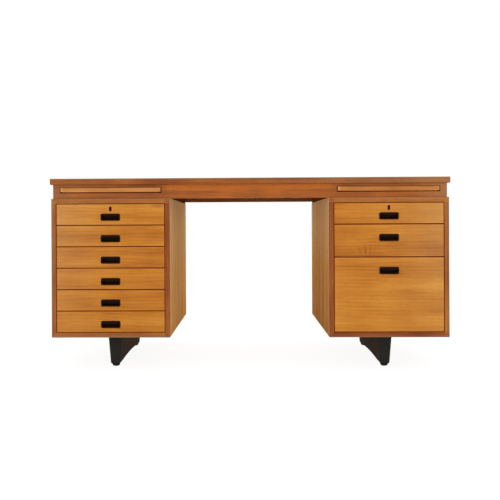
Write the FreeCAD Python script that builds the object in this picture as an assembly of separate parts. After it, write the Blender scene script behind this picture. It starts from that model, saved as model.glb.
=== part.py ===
import FreeCAD, Part
import os

from FreeCAD import Vector

# Executive desk: a lipped top on a shallow apron frame, carried by two drawer pedestals on sled feet.
# X runs to the sitter's right, Y from the sitter's side to the back, and Z up from the floor.
# The origin is on the floor under the middle of the top. Every length is in millimetres.

# Whole desk
desk_width = 1550.0
desk_depth = 750.0
desk_height = 750.0
cut_overrun = 3.0
level_tolerance = 0.001
full_turn = 360

# Desktop
top_thickness = 23.0
top_lip_width = 10.0
top_arris = 1.5

# Apron frame between desktop and pedestals
apron_height = 55.0
apron_inset = 10.0
rail_thickness = 20.0
back_rail_rise = 7.0

# Pull-out writing leaves
leaf_side_margin = 35.5
leaf_length = 560.0
leaf_thickness = 16.0
leaf_lip_height = 18.0
leaf_lip_depth = 10.0
leaf_edge_width = 8.0
leaf_proud = 1.5
leaf_arris = 0.8
slot_drop = 11.0
slot_gap_above = 1.5
slot_gap_below = 2.5
slot_gap_side = 3.5
bearer_engagement = 9.0
stop_thickness = 9.0
stop_width = 12.0
stop_inset = 150.0
stop_end_gap = 10.0

# Pedestal carcasses
pedestal_width = 462.0
pedestal_inset = 4.0
side_board = 18.0
level_board = 19.0
edge_lip_depth = 6.0
edge_arris = 1.0
back_panel_thickness = 10.0
back_panel_inset = 2.0

# Drawers
left_drawer_count = 6
right_drawer_count = 3
middle_drawer_height = 125.5
drawer_gap = 2.0
front_recess = 1.0
front_thickness = 20.0
front_arris = 0.8
box_rear_room = 65.0
box_side_thickness = 12.0
box_back_thickness = 10.0
box_bottom_thickness = 5.0
box_side_lift = 5.0
box_side_drop = 9.0
box_bottom_lift = 8.0
box_groove_depth = 5.0
box_back_overhang = 12.0
box_back_drop = 6.0

# Dovetails
tail_length = 13.0
tail_pitch = 24.0
fewest_tails = 2
tail_share = 0.55
tail_slope_share = 0.125

# Wooden drawer runners
runner_height = 14.0
groove_depth = 6.5
runner_height_share = 0.55
running_clearance = 0.3

# Recessed drawer pulls
pull_width = 74.0
pull_height = 26.0
pull_corner = 6.0
pull_rim = 3.0
pull_flange = 2.0
pull_depth = 14.0
pull_wall = 1.8
pull_drop = 52.0
pull_grip_drop = 4.0
pull_grip_thickness = 2.6
pull_scoop_rise = 4.5
pull_scoop_bulge = 0.9
pull_fit = 0.2

# Drawer locks
lock_width = 60.0
lock_height = 37.0
lock_depth = 12.0
lock_wall = 3.5
key_chamber_width = 15.0
bolt_width = 20.0
bolt_thickness = 4.5
bolt_height = 13.0
bolt_throw = 8.0
bush_drop = 19.5
bush_width = 8.0
bush_height = 18.0
bush_proud = 0.4
bush_fit = 0.2
keyhole_radius = 2.3
keyhole_slot_width = 2.4
keyhole_slot_drop = 8.0
strike_width = 40.0
strike_depth = 12.0
strike_thickness = 1.5
strike_gap = 0.8
strike_room = 2.0

# Sled feet and glides
foot_height = 120.0
foot_inset = 97.0
foot_forward = 12.0
foot_rake = 10.0
foot_arch_rise = 10.0
foot_top_width = 53.0
foot_bottom_width = 37.0
foot_edge_round = 5.0
glide_height = 11.0
glide_radius = 13.0
glide_flat_radius = 12.0
glide_taper_height = 5.0
glide_end_inset = 20.0

# Levels of the main pieces
half_width = desk_width / 2
half_depth = desk_depth / 2
apron_top = desk_height - top_thickness
apron_bottom = apron_top - apron_height
pedestal_bottom = glide_height + foot_height
opening_z = (pedestal_bottom + level_board, apron_bottom - level_board)

# Faces of the pedestals, and how far their centres lie from the middle of the desk
pedestal_front = -half_depth + pedestal_inset
pedestal_back = half_depth - pedestal_inset
pedestal_centre = half_width - pedestal_inset - pedestal_width / 2
opening_half = pedestal_width / 2 - side_board
board_y = (pedestal_front + edge_lip_depth, pedestal_back - edge_lip_depth)
panel_rear = pedestal_back - back_panel_inset
back_panel_y = (panel_rear - back_panel_thickness, panel_rear)

# Faces of the apron frame
frame_half = half_width - apron_inset
frame_y = (-half_depth + apron_inset, half_depth - apron_inset)
between_rails_y = (frame_y[0] + rail_thickness, frame_y[1] - rail_thickness)

# Faces of the leaves and their bearers
leaf_half = pedestal_width / 2 - leaf_side_margin
leaf_top = apron_top - slot_drop - slot_gap_above
leaf_z = (leaf_top - leaf_thickness, leaf_top)
leaf_lip_z = (leaf_top - leaf_lip_height, leaf_top)
slot_z = (leaf_lip_z[0] - slot_gap_below, leaf_top + slot_gap_above)
leaf_front = frame_y[0] - leaf_proud
leaf_board_half = leaf_half - leaf_edge_width
bearer_inner = leaf_half - bearer_engagement
bearer_outer = frame_half - rail_thickness - pedestal_centre

# Faces of the drawers, their pulls and their locks
front_face = pedestal_front + front_recess
front_back = front_face + front_thickness
box_half = opening_half - drawer_gap
box_end = back_panel_y[0] - box_rear_room
pull_face = front_face - pull_flange
lock_face = front_back - lock_depth
bolt_y = (lock_face + lock_wall, lock_face + lock_wall + bolt_thickness)

# How far the feet and the glides' centres reach from the middle of a foot
foot_reach = pedestal_back - foot_inset
glide_reach = foot_reach - foot_rake - glide_end_inset

LEFT = -1
RIGHT = 1
BOTH_SIDES = (LEFT, RIGHT)
SIDE_NAMES = {LEFT: "left", RIGHT: "right"}
BOTH_WAYS = (-1, 1)


# Helpers

def around(centre, half):
    """The (low, high) span of a given half size about a centre."""
    return (centre - half, centre + half)


def grown(span, by):
    """A (low, high) span made longer by the same amount at both ends."""
    return (span[0] - by, span[1] + by)


def beside(centre, way, near, far):
    """The (low, high) span between two distances from a centre, to one side of it."""
    return tuple(sorted((centre + way * near, centre + way * far)))


def block(x, y, z):
    """A box from its three (low, high) spans."""
    return Part.makeBox(x[1] - x[0], y[1] - y[0], z[1] - z[0], Vector(x[0], y[0], z[0]))


def polygon_face(points):
    return Part.Face(Part.makePolygon(points + points[:1]))


def prism_along_x(outline, x):
    """A prism over an outline of (y, z) points."""
    return polygon_face([Vector(x[0], y, z) for y, z in outline]).extrude(Vector(x[1] - x[0], 0, 0))


def prism_along_y(outline, y):
    """A prism over an outline of (x, z) points."""
    return polygon_face([Vector(x, y[0], z) for x, z in outline]).extrude(Vector(0, y[1] - y[0], 0))


def prism_along_z(outline, z):
    """A prism over an outline of (x, y) points."""
    return polygon_face([Vector(x, y, z[0]) for x, y in outline]).extrude(Vector(0, 0, z[1] - z[0]))


def through(x, z, radius, y):
    """A round bar that lies along Y."""
    return Part.makeCylinder(radius, y[1] - y[0], Vector(x, y[0], z), Vector(0, 1, 0))


def rounded_block(x, y, z, radius):
    """A box whose four edges along Y are rounded."""
    plain = block(x, y, z)
    along_y = [e for e in plain.Edges if abs(e.Vertexes[0].Y - e.Vertexes[1].Y) > level_tolerance]
    return plain.makeFillet(radius, along_y)


def upright_obround(x, z, width, height, y):
    """A bar along Y with straight sides and half-round top and bottom."""
    reach = (height - width) / 2
    middle = block(around(x, width / 2), y, around(z, reach))
    ends = [through(x, z + way * reach, width / 2, y) for way in BOTH_WAYS]
    return middle.fuse(ends).removeSplitter()


def edges_at(solid, axis, level):
    """The edges of a solid that lie wholly on one level of x, y or z."""
    return [
        e for e in solid.Edges
        if all(abs(getattr(v.Point, axis) - level) < level_tolerance for v in e.Vertexes)
    ]


def corner_edges(solid, first, second):
    """The edges of a solid that lie on two levels at once, each given as (axis, level)."""
    on_second = edges_at(solid, *second)
    return [e for e in edges_at(solid, *first) if any(e.isSame(other) for other in on_second)]


def frame_outlines(outer, inner):
    """Four mitred strips between an outer and an inner rectangle, each a pair of (low, high) spans."""
    (ox, oz), (ix, iz) = outer, inner
    return {
        "low": [(ox[0], oz[0]), (ox[1], oz[0]), (ix[1], iz[0]), (ix[0], iz[0])],
        "high": [(ox[0], oz[1]), (ix[0], iz[1]), (ix[1], iz[1]), (ox[1], oz[1])],
        "left": [(ox[0], oz[0]), (ix[0], iz[0]), (ix[0], iz[1]), (ox[0], oz[1])],
        "right": [(ox[1], oz[0]), (ox[1], oz[1]), (ix[1], iz[1]), (ix[1], iz[0])],
    }


def write(name, *solids):
    """Writes one node, as a single solid or as a group of separate solids."""
    shape = solids[0] if len(solids) == 1 else Part.makeCompound(list(solids))
    shape.exportStep(os.path.join("parts", name + ".step"))


# Desktop

def desktop():
    """The panel, and the lipping round it with its upper and lower edges eased."""
    outer = ((-half_width, half_width), (-half_depth, half_depth))
    inner = tuple(grown(span, -top_lip_width) for span in outer)
    z = (apron_top, desk_height)
    seen = {"low": ("y", -half_depth), "high": ("y", half_depth),
            "left": ("x", -half_width), "right": ("x", half_width)}
    strips = []
    for name, outline in frame_outlines(outer, inner).items():
        strip = prism_along_z(outline, z)
        arrises = [e for level in z for e in corner_edges(strip, seen[name], ("z", level))]
        strips.append(strip.makeFillet(top_arris, arrises))
    return block(inner[0], inner[1], z), strips


# Apron frame, and the bearers that guide the leaves

def front_rail():
    rail_y = (frame_y[0], between_rails_y[0])
    rail = block((-frame_half, frame_half), rail_y, (apron_bottom, apron_top))
    for side in BOTH_SIDES:
        slot_x = around(side * pedestal_centre, leaf_half + slot_gap_side)
        rail = rail.cut(block(slot_x, grown(rail_y, cut_overrun), slot_z))
    return rail


def back_rail():
    rail_y = (between_rails_y[1], frame_y[1])
    return block((-frame_half, frame_half), rail_y, (apron_bottom + back_rail_rise, apron_top))


def end_rail(side):
    x = beside(0, side, frame_half - rail_thickness, frame_half)
    return block(x, between_rails_y, (apron_bottom, apron_top))


def leaf_bearers(side):
    """Two grooved bearers that guide a leaf and tie the rails; the inner one is flush with the kneehole."""
    centre = side * pedestal_centre
    groove = block(
        around(centre, leaf_half + running_clearance),
        grown(between_rails_y, cut_overrun),
        grown(leaf_z, running_clearance),
    )
    bearers = []
    for way in BOTH_WAYS:
        far_face = bearer_outer if way == side else pedestal_width / 2
        x = beside(centre, way, bearer_inner, far_face)
        bearers.append(block(x, between_rails_y, (apron_bottom, apron_top)).cut(groove))
    return bearers


# Pull-out leaves

def leaf(side):
    """A leaf's board, and the stop batten glued under it that catches behind the front rail."""
    centre = side * pedestal_centre
    y = (leaf_front + leaf_lip_depth, leaf_front + leaf_length)
    stop_y = (y[1] - stop_inset - stop_width, y[1] - stop_inset)
    stop_z = (leaf_z[0] - stop_thickness, leaf_z[0])
    stop = block(around(centre, bearer_inner - stop_end_gap), stop_y, stop_z)
    return [block(around(centre, leaf_board_half), y, leaf_z), stop]


def leaf_lipping(side):
    """A leaf's front lip, set between the two edge strips whose ends show beside it."""
    centre = side * pedestal_centre
    lip_y = (leaf_front, leaf_front + leaf_lip_depth)
    lip = block(around(centre, leaf_board_half), lip_y, leaf_lip_z)
    arrises = [e for level in leaf_lip_z for e in corner_edges(lip, ("y", leaf_front), ("z", level))]
    strip_y = (leaf_front, leaf_front + leaf_length)
    strips = [block(beside(centre, way, leaf_board_half, leaf_half), strip_y, leaf_z) for way in BOTH_WAYS]
    return [lip.makeChamfer(leaf_arris, arrises)] + strips


# Pedestals

def pedestal_rectangles(side):
    """The outer and inner rectangles of a pedestal's mitred carcass, as spans of x and z."""
    centre = side * pedestal_centre
    outer = (around(centre, pedestal_width / 2), (pedestal_bottom, apron_bottom))
    return outer, (around(centre, opening_half), opening_z)


def pedestal_boards(side):
    """The four boards of a carcass, mitred where they meet, by the names of their nodes."""
    outlines = frame_outlines(*pedestal_rectangles(side))
    boards = {name: prism_along_y(outline, board_y) for name, outline in outlines.items()}
    outer_name, inner_name = ("left", "right") if side == LEFT else ("right", "left")
    return {
        "outer_side": boards[outer_name],
        "inner_side": boards[inner_name],
        "top": boards["high"].cut(strike_space(side)).cut(strike_mortise(side)),
        "bottom": boards["low"],
    }


def pedestal_back_panel(side):
    return block(around(side * pedestal_centre, opening_half), back_panel_y, opening_z)


def pedestal_lipping(side):
    """Solid lipping on the front and back edges of the boards, mitred at the corners."""
    outer, inner = pedestal_rectangles(side)
    seen = {"low": ("z", outer[1][0]), "high": ("z", outer[1][1]),
            "left": ("x", outer[0][0]), "right": ("x", outer[0][1])}
    strips = []
    for face, seat in ((pedestal_front, board_y[0]), (pedestal_back, board_y[1])):
        for name, outline in frame_outlines(outer, inner).items():
            strip = prism_along_y(outline, sorted((face, seat)))
            strips.append(strip.makeChamfer(edge_arris, corner_edges(strip, ("y", face), seen[name])))
    return strips


# Drawers

def small_drawer_height():
    room = opening_z[1] - opening_z[0] - (left_drawer_count + 1) * drawer_gap
    return room / left_drawer_count


def drawer_spans(side):
    """The (low, high) span of each drawer front in a pedestal, from the top down."""
    small = small_drawer_height()
    if side == LEFT:
        heights = [small] * left_drawer_count
    else:
        room = opening_z[1] - opening_z[0] - (right_drawer_count + 1) * drawer_gap
        heights = [small, middle_drawer_height, room - small - middle_drawer_height]
    spans = []
    top = opening_z[1] - drawer_gap
    for height in heights:
        spans.append((top - height, top))
        top -= height + drawer_gap
    return spans


def box_side_z(front_z):
    return (front_z[0] + box_side_lift, front_z[1] - box_side_drop)


def box_floor_z(front_z):
    low = box_side_z(front_z)[0] + box_bottom_lift
    return (low, low + box_bottom_thickness)


def runner_z(front_z):
    low, high = box_side_z(front_z)
    return around(low + runner_height_share * (high - low), runner_height / 2)


def dovetail_row(z, root, tip):
    """A row of tails from high to low, each widening from its root to its tip, as (y, z) points."""
    height = z[1] - z[0]
    count = max(fewest_tails, round(height / tail_pitch))
    pitch = height / count
    half_root = pitch * tail_share / 2
    half_tip = half_root + abs(tip - root) * tail_slope_share
    points = []
    for index in range(count):
        middle = z[1] - (index + 1 / 2) * pitch
        points += [
            (root, middle + half_root),
            (tip, middle + half_tip),
            (tip, middle - half_tip),
            (root, middle - half_root),
        ]
    return points


def box_side_outline(front_z):
    """A drawer side seen from beside it, with its dovetails at the front end, as (y, z) points."""
    z = box_side_z(front_z)
    corners = [(front_back, z[0]), (box_end, z[0]), (box_end, z[1]), (front_back, z[1])]
    return corners + dovetail_row(z, front_back, front_back - tail_length)


def drawer_box(side, front_z):
    """A drawer's sides, back and bottom, and the pieces that cut their joints into its front."""
    centre = side * pedestal_centre
    inside = box_half - box_side_thickness
    housed_x = around(centre, inside + box_groove_depth)
    floor_z = box_floor_z(front_z)
    bottom = block(housed_x, (front_back - box_groove_depth, box_end), floor_z)
    back_end = box_end - box_back_overhang
    back_z = (floor_z[1], box_side_z(front_z)[1] - box_back_drop)
    back = block(housed_x, (back_end - box_back_thickness, back_end), back_z)
    outline = box_side_outline(front_z)
    groove_y = (front_back, box_end + cut_overrun)
    groove_z = grown(runner_z(front_z), running_clearance)
    plain_sides = []
    sides = []
    for way in BOTH_WAYS:
        plain = prism_along_x(outline, beside(centre, way, inside, box_half))
        groove_x = beside(centre, way, box_half - groove_depth, box_half + cut_overrun)
        groove = block(groove_x, groove_y, groove_z)
        plain_sides.append(plain)
        sides.append(plain.cut(groove).cut(bottom).cut(back))
    return sides + [back, bottom], plain_sides + [bottom]


def pull_place(side, front_z):
    return side * pedestal_centre, front_z[1] - pull_drop


def drawer_front(side, front_z, joined, locked):
    """A drawer front with its dovetail sockets, groove, pull recess and, where it locks, its mortise."""
    front = block(around(side * pedestal_centre, box_half), (front_face, front_back), front_z)
    front = front.makeChamfer(front_arris, edges_at(front, "y", front_face))
    for piece in joined:
        front = front.cut(piece)
    x, z = pull_place(side, front_z)
    front = front.cut(block(
        around(x, pull_width / 2 - pull_rim + pull_fit),
        (front_face - cut_overrun, front_face + pull_depth + pull_fit),
        around(z, pull_height / 2 - pull_rim + pull_fit),
    ))
    if locked:
        front = front.cut(lock_space(side, front_z)).cut(bush_body(side, front_z, bush_fit))
    return front


def runners(side):
    """The strips on a carcass's sides that carry its drawers; their front ends stop the closing drawers."""
    y = (front_back + running_clearance, back_panel_y[0])
    return [
        block(
            beside(side * pedestal_centre, way, box_half - groove_depth + running_clearance, opening_half),
            y,
            runner_z(front_z),
        )
        for front_z in drawer_spans(side)
        for way in BOTH_WAYS
    ]


# Recessed pulls

def pull(side, front_z):
    """A moulded cup with a rim, a scooped floor and a finger grip behind its upper edge."""
    x, z = pull_place(side, front_z)
    rim_y, cup_y = (pull_face, front_face), (front_face, front_face + pull_depth)
    rim = rounded_block(around(x, pull_width / 2), rim_y, around(z, pull_height / 2), pull_corner)
    half_wide, half_high = pull_width / 2 - pull_rim, pull_height / 2 - pull_rim
    cup = block(around(x, half_wide), cup_y, around(z, half_high))
    hollow = pull_hollow(x, z, half_wide - pull_wall, half_high - pull_wall)
    return rim.fuse(cup).removeSplitter().cut(hollow)


def pull_hollow(x, z, half_wide, half_high):
    """The space for the fingers: a scoop from the lower rim to the back wall, and a grip at the top."""
    back = front_face + pull_depth - pull_wall
    outside = pull_face - cut_overrun
    grip_back = pull_face + pull_grip_thickness
    low, high = z - half_high, z + half_high

    def at(y, height):
        return Vector(x - half_wide, y, height)

    corners = [
        at(back, low + pull_scoop_rise),
        at(back, high),
        at(grip_back, high),
        at(grip_back, high - pull_grip_drop),
        at(outside, high - pull_grip_drop),
        at(outside, low),
        at(pull_face, low),
    ]
    scoop_y = (pull_face + back) / 2 + pull_scoop_bulge
    scoop_middle = at(scoop_y, low + pull_scoop_rise / 2 - pull_scoop_bulge)
    edges = [Part.LineSegment(a, b).toShape() for a, b in zip(corners, corners[1:])]
    edges.append(Part.Arc(corners[-1], scoop_middle, corners[0]).toShape())
    return Part.Face(Part.Wire(edges)).extrude(Vector(2 * half_wide, 0, 0))


# Locks

def lock_space(side, front_z):
    """The mortise in the back of a drawer front that a lock's case fills."""
    x = around(side * pedestal_centre, lock_width / 2)
    return block(x, (lock_face, front_back), (front_z[1] - lock_height, front_z[1]))


def keyhole_eye(front_z):
    """The height of the keyhole's round eye; eye and slot together are centred in the bush."""
    return front_z[1] - bush_drop + (keyhole_slot_drop - keyhole_radius) / 2


def keyhole(side, front_z, y):
    """A keyhole: a round eye for the key's shank and a slot below it for the bit."""
    x, eye = side * pedestal_centre, keyhole_eye(front_z)
    slot = block(around(x, keyhole_slot_width / 2), y, (eye - keyhole_slot_drop, eye))
    return through(x, eye, keyhole_radius, y).fuse(slot)


def lock_case(side, front_z):
    """A lever lock's case, with the channel that its bolt rises in and the chamber where the key turns."""
    x = side * pedestal_centre
    chamber_y = grown(bolt_y, running_clearance)
    channel_z = (front_z[1] - bolt_height - running_clearance, front_z[1] + cut_overrun)
    channel = block(around(x, bolt_width / 2 + running_clearance), chamber_y, channel_z)
    half_chamber = key_chamber_width / 2
    chamber = block(around(x, half_chamber), chamber_y, around(keyhole_eye(front_z), half_chamber))
    keyway = keyhole(side, front_z, (lock_face - cut_overrun, bolt_y[1]))
    return lock_space(side, front_z).cut(channel).cut(chamber).cut(keyway)


def lock_bolt(side, front_z):
    """The bolt, drawn back level with the top edge of the drawer front."""
    x = around(side * pedestal_centre, bolt_width / 2)
    return block(x, bolt_y, (front_z[1] - bolt_height, front_z[1]))


def bush_body(side, front_z, fit=0):
    """The outside of a keyhole bush, made larger all round by a fit for the hole that it sits in."""
    y = (front_face - bush_proud, lock_face)
    width, height = bush_width + 2 * fit, bush_height + 2 * fit
    return upright_obround(side * pedestal_centre, front_z[1] - bush_drop, width, height, y)


def keyhole_bush(side, front_z):
    return bush_body(side, front_z).cut(keyhole(side, front_z, grown((front_face, lock_face), cut_overrun)))


def strike_space(side):
    """The shallow recess under a pedestal's top that a strike plate fills."""
    middle = (bolt_y[0] + bolt_y[1]) / 2
    z = (opening_z[1], opening_z[1] + strike_thickness)
    return block(around(side * pedestal_centre, strike_width / 2), around(middle, strike_depth / 2), z)


def strike_mortise(side):
    """The slot that the bolt rises into, through the strike plate and up into the board."""
    x = around(side * pedestal_centre, bolt_width / 2 + strike_gap)
    z = (opening_z[1] - cut_overrun, opening_z[1] - drawer_gap + bolt_throw + strike_room)
    return block(x, grown(bolt_y, strike_gap), z)


def strike_plate(side):
    return strike_space(side).cut(strike_mortise(side))


# Feet and glides

def glide_places(side):
    return [(side * pedestal_centre, y) for y in around(-foot_forward, glide_reach)]


def tapered(centre, low_half, high_half):
    """An upright outline that is narrower at the floor than at the pedestal, as (place, z) points."""
    return [
        (centre - low_half, glide_height),
        (centre + low_half, glide_height),
        (centre + high_half, pedestal_bottom),
        (centre - high_half, pedestal_bottom),
    ]


def foot_arch(centre):
    """The round bar across a foot that hollows its underside between the glides."""
    half_span = glide_reach - glide_radius
    radius = (half_span ** 2 + foot_arch_rise ** 2) / (2 * foot_arch_rise)
    start = Vector(centre - foot_top_width / 2, -foot_forward, glide_height + foot_arch_rise - radius)
    along = Vector(1, 0, 0)
    return Part.makeCylinder(radius, foot_top_width, start, along).rotated(start, along, full_turn / 2)


def foot(side):
    """A sled foot that tapers downwards, with raked ends, rounded edges and an arched underside."""
    centre = side * pedestal_centre
    half_top = foot_top_width / 2
    seen_from_end = prism_along_y(
        tapered(centre, foot_bottom_width / 2, half_top),
        around(-foot_forward, foot_reach),
    )
    seen_from_side = prism_along_x(
        tapered(-foot_forward, foot_reach - foot_rake, foot_reach),
        around(centre, half_top),
    )
    body = seen_from_end.common(seen_from_side)
    seat_edges = edges_at(body, "z", pedestal_bottom)
    rounded = [e for e in body.Edges if not any(e.isSame(other) for other in seat_edges)]
    return body.makeFillet(foot_edge_round, rounded).cut(foot_arch(centre))


def glide(x, y):
    """A turned glide under a foot: a round button that tapers to the flat that it stands on."""
    profile = [
        (0, 0),
        (glide_flat_radius, 0),
        (glide_radius, glide_taper_height),
        (glide_radius, glide_height),
        (0, glide_height),
    ]
    half_section = polygon_face([Vector(x + radius, y, z) for radius, z in profile])
    return half_section.revolve(Vector(x, y, 0), Vector(0, 0, 1), full_turn)


# Whole desk

def write_shared_pieces():
    """The top, its frame, and the groups of like pieces that both sides share."""
    panel, lipping = desktop()
    write("desktop_panel", panel)
    write("desktop_lipping", *lipping)
    write("apron_front_rail", front_rail())
    write("apron_back_rail", back_rail())
    write("apron_end_rails", *[end_rail(side) for side in BOTH_SIDES])
    write("leaf_bearers", *[bearer for side in BOTH_SIDES for bearer in leaf_bearers(side)])
    write("pedestal_lipping", *[strip for side in BOTH_SIDES for strip in pedestal_lipping(side)])
    write("drawer_runners", *[strip for side in BOTH_SIDES for strip in runners(side)])
    write("lock_strikes", *[strike_plate(side) for side in BOTH_SIDES])
    write("foot_glides", *[glide(x, y) for side in BOTH_SIDES for x, y in glide_places(side)])


def write_drawer(side, name, number, front_z):
    """One drawer, with a lock if it is the top one of its pedestal."""
    locked = number == 1
    box, joined = drawer_box(side, front_z)
    write(f"{name}_drawer_{number}_box", *box)
    write(f"{name}_drawer_{number}_front", drawer_front(side, front_z, joined, locked))
    write(f"{name}_drawer_{number}_pull", pull(side, front_z))
    if locked:
        write(f"{name}_lock_case", lock_case(side, front_z))
        write(f"{name}_lock_bolt", lock_bolt(side, front_z))
        write(f"{name}_keyhole_bush", keyhole_bush(side, front_z))


def write_side(side):
    """One pedestal with its drawers and foot, and the leaf above it."""
    name = SIDE_NAMES[side]
    write(f"{name}_leaf", *leaf(side))
    write(f"{name}_leaf_lipping", *leaf_lipping(side))
    write(f"{name}_foot", foot(side))
    write(f"{name}_pedestal_back", pedestal_back_panel(side))
    for board, solid in pedestal_boards(side).items():
        write(f"{name}_pedestal_{board}", solid)
    for number, front_z in enumerate(drawer_spans(side), start=1):
        write_drawer(side, name, number, front_z)


os.makedirs("parts", exist_ok=True)
write_shared_pieces()
for desk_side in BOTH_SIDES:
    write_side(desk_side)
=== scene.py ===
import math

import bmesh
import bpy
from mathutils import Matrix, Vector


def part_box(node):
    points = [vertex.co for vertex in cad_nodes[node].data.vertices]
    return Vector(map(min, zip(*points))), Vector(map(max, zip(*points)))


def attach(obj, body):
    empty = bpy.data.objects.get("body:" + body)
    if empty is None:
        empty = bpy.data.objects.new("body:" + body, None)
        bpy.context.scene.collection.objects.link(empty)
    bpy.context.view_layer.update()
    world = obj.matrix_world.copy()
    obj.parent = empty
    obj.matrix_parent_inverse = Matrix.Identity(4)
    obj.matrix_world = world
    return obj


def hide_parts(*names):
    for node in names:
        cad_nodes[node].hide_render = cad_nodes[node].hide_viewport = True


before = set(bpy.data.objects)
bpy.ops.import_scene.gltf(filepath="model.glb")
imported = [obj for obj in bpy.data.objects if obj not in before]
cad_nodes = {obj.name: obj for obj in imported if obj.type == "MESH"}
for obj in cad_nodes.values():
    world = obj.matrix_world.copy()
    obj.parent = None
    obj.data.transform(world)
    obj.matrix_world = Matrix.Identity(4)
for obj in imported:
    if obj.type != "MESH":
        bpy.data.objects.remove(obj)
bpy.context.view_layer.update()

# The desk's finishes and small fittings, the studio round it and the camera. Lengths are in metres.

SIDES = ("left", "right")
RAIL_ROUNDING, PULL_ROUNDING, BOLT_ROUNDING, BUSH_ROUNDING = 0.0008, 0.0007, 0.0006, 0.0004

# Rims of the pulls and keyholes: what is further than a reach from a core of half sizes (x, z) is spread
PULL_RIM = {"core": (0.031, 0.007), "reach": 0.005, "aside": 0.0007, "up": 0.0015, "down": 0.0003}
BUSH_RIM = {"core": (0.0, 0.005), "reach": 0.003, "aside": 0.0010, "up": 0.0014, "down": 0.0005}


# Node wiring

NOISE_MIDDLE = 0.5


class Signal:
    """An output socket; sums on it add Math nodes to its tree."""

    def __init__(self, wiring, socket):
        self.wiring = wiring
        self.socket = socket

    def math(self, operation, *values, clamped=False):
        settings = {"operation": operation, "use_clamp": clamped}
        return self.wiring.add("ShaderNodeMath", settings, dict(enumerate(values)))

    def __add__(self, other):
        return self.math("ADD", self, other)

    def __sub__(self, other):
        return self.math("SUBTRACT", self, other)

    def __rsub__(self, other):
        return self.math("SUBTRACT", other, self)

    def __mul__(self, other):
        return self.math("MULTIPLY", self, other)

    def __truediv__(self, other):
        return self.math("DIVIDE", self, other)

    def __rtruediv__(self, other):
        return self.math("DIVIDE", other, self)

    def __pow__(self, other):
        return self.math("POWER", self, other)

    def __abs__(self):
        return self.math("ABSOLUTE", self)

    def __lt__(self, other):
        return self.math("LESS_THAN", self, other)

    def __gt__(self, other):
        return self.math("GREATER_THAN", self, other)

    __radd__ = __add__
    __rmul__ = __mul__

    def lower_of(self, other):
        return self.math("MINIMUM", self, other)

    def higher_of(self, other):
        return self.math("MAXIMUM", self, other)

    def fraction(self):
        return self.math("FRACT", self)

    def held(self):
        """The value kept between 0 and 1."""
        return self.math("ADD", self, 0.0, clamped=True)


class Wiring:
    """A node tree being built; every node in it comes from add."""

    def __init__(self, tree):
        self.tree = tree
        tree.nodes.clear()

    def add(self, kind, settings=None, inputs=None, output=0):
        node = self.tree.nodes.new(kind)
        for key, value in (settings or {}).items():
            if key == "stops":
                self.set_stops(node.color_ramp.elements, value)
            else:
                setattr(node, key, value)
        for key, value in (inputs or {}).items():
            if isinstance(value, Signal):
                self.tree.links.new(value.socket, node.inputs[key])
            else:
                node.inputs[key].default_value = value
        return Signal(self, node.outputs[output] if node.outputs else None)

    @staticmethod
    def set_stops(elements, stops):
        while len(elements) < len(stops):
            elements.new(1.0)
        for element, (position, colour) in zip(elements, stops):
            element.position = position
            element.color = colour

    def parts(self, vector):
        """The x, y and z of a vector."""
        first = self.add("ShaderNodeSeparateXYZ", inputs={0: vector})
        return [Signal(self, socket) for socket in first.socket.node.outputs]

    def blend(self, share, first, second):
        """One colour turning into another as a share goes from 0 to 1."""
        return self.add("ShaderNodeMix", {"data_type": "RGBA"}, {0: share, 6: first, 7: second}, output=2)


class Finish(Wiring):
    """A material being built on the piece's own coordinates."""

    def __init__(self, name):
        self.material = bpy.data.materials.new(name)
        self.material.use_nodes = True
        super().__init__(self.material.node_tree)
        self.point = self.add("ShaderNodeTexCoord", output="Object")

    def noise(self, scale, detail, point=None):
        """Cloudy values about one half, with a scale of its own along each axis, in features per metre."""
        spread = self.add("ShaderNodeMapping", inputs={"Vector": point or self.point, "Scale": scale})
        return self.add("ShaderNodeTexNoise", inputs={"Vector": spread, "Scale": 1.0, "Detail": detail})

    def bump(self, height, strength, depth):
        return self.add("ShaderNodeBump", inputs={"Height": height, "Strength": strength, "Distance": depth})

    def done(self, sockets):
        shader = self.add("ShaderNodeBsdfPrincipled", inputs=sockets)
        self.add("ShaderNodeOutputMaterial", inputs={"Surface": shader})
        return self.material


def paint(red, green, blue):
    """A colour as a paint card gives it, in the linear values that shaders take."""
    shares = [value / 255 for value in (red, green, blue)]
    return (*[s / 12.92 if s <= 0.04045 else ((s + 0.055) / 1.055) ** 2.4 for s in shares], 1.0)


# Timber finishes: each timber is given by its dark, middle and light tones

DRAWER_TEAK = (paint(164, 90, 22), paint(196, 123, 38), paint(216, 148, 58))
LEAF_TEAK = (paint(158, 90, 36), paint(191, 122, 56), paint(214, 150, 82))
APRON_TEAK = (paint(118, 56, 22), paint(150, 81, 34), paint(186, 102, 34))
LIPPING_TEAK = (paint(119, 52, 20), paint(157, 87, 37), paint(184, 115, 46))
BACK_TEAK = (paint(150, 86, 36), paint(186, 120, 56), paint(208, 148, 84))
TOP_TEAK = (paint(118, 60, 24), paint(160, 95, 40), paint(188, 122, 60))
SIDE_TEAK = (paint(172, 108, 48), paint(206, 144, 74), paint(222, 168, 100))
PALE_BEECH = (paint(170, 128, 80), paint(205, 168, 116), paint(224, 192, 144))
# Paler, bluer copy of the side teak for the kneehole's faces: their light and sheen painted into the colour
KNEEHOLE_LIT_TEAK = (paint(172, 114, 58), paint(204, 148, 84), paint(224, 176, 112))
# Dark brown for the bearers: painted shade under the desktop
SHADED_TEAK = (paint(78, 42, 20), paint(104, 58, 28), paint(128, 76, 40))
# Pale blue-grey: sun fading on the apron's ends, and painted sheen on the drawer fronts
SUN_FADED_AND_SHEEN = paint(206, 170, 120)
# Painted light on the upper part of the kneehole's faces
PAINTED_LIGHT_PALE = paint(238, 198, 144)
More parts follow.
